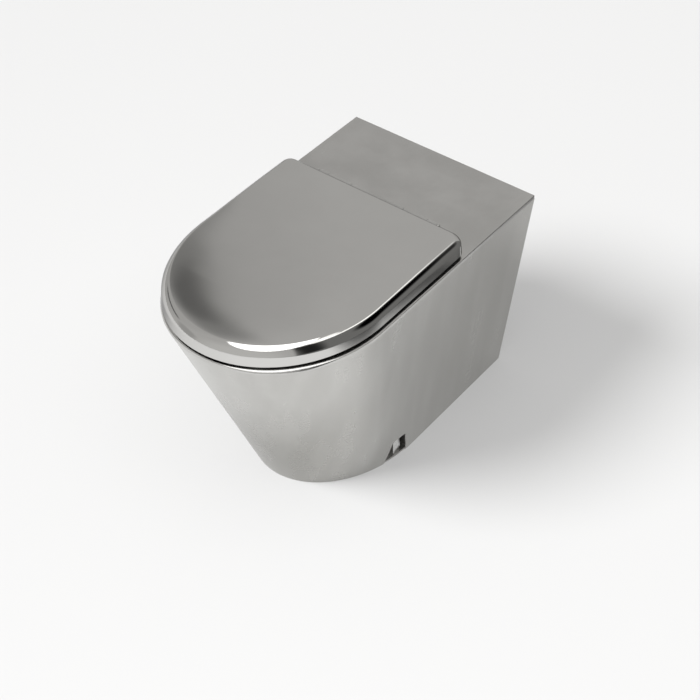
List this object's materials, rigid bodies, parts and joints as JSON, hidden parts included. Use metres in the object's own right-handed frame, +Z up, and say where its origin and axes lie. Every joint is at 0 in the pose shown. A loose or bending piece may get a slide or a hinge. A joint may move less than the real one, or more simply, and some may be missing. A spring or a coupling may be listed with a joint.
{
  "type": "toilet",
  "caption": "Wall-faced stainless steel toilet: tapered D-shaped skirt and flat deck around a bowl, trap and rear outlet, with a hinged seat under a rounded wrap-over lid.",
  "frame": {"origin": "on the floor, on the centre line, midway between the wall face and the front of the deck", "axes": "+Z up, +Y towards the wall, +X to the right of a person facing the toilet"},
  "size_m": [0.376, 0.64, 0.44],
  "materials": {
    "satin_steel": "satin brushed stainless steel",
    "polished_steel": "polished stainless steel",
    "grey_rubber": "matt rubber"
  },
  "bodies": {
    "pan": {"pan_skirt": "satin_steel", "top_deck": "satin_steel", "bowl": "satin_steel", "flush_rim": "satin_steel", "flush_box": "satin_steel", "flush_inlet_pipe": "satin_steel", "flush_inlet_seal": "grey_rubber", "trap_bend": "satin_steel", "trap_elbow": "satin_steel", "outlet_spigot": "satin_steel", "base_frame": "satin_steel", "rear_flange": "satin_steel", "fixing_bracket_left": "satin_steel", "fixing_bracket_right": "satin_steel", "hinge_doubler": "satin_steel", "hinge_pillar_left": "polished_steel", "hinge_pillar_right": "polished_steel", "hinge_gaskets": "grey_rubber", "hinge_studs": "satin_steel", "hinge_washers": "satin_steel", "hinge_nuts": "satin_steel", "hinge_rod": "polished_steel", "hinge_rod_caps": "polished_steel"},
    "seat": {"seat_ring": "polished_steel", "seat_hinge_tube": "polished_steel", "seat_arm_left": "satin_steel", "seat_arm_right": "satin_steel", "seat_buffers": "grey_rubber"},
    "lid": {"lid_shell": "polished_steel", "lid_knuckle_left": "polished_steel", "lid_knuckle_right": "polished_steel", "lid_buffers": "grey_rubber"}
  },
  "joints": [
    {"name": "seat_hinge", "type": "hinge", "parent": "pan", "child": "seat", "pos_m": [0, 0.131, 0.4215], "axis": [-1, 0, 0], "range_deg": [0, 90]},
    {"name": "lid_hinge", "type": "hinge", "parent": "seat", "child": "lid", "pos_m": [0, 0.131, 0.4215], "axis": [-1, 0, 0], "range_deg": [0, 90]}
  ]
}
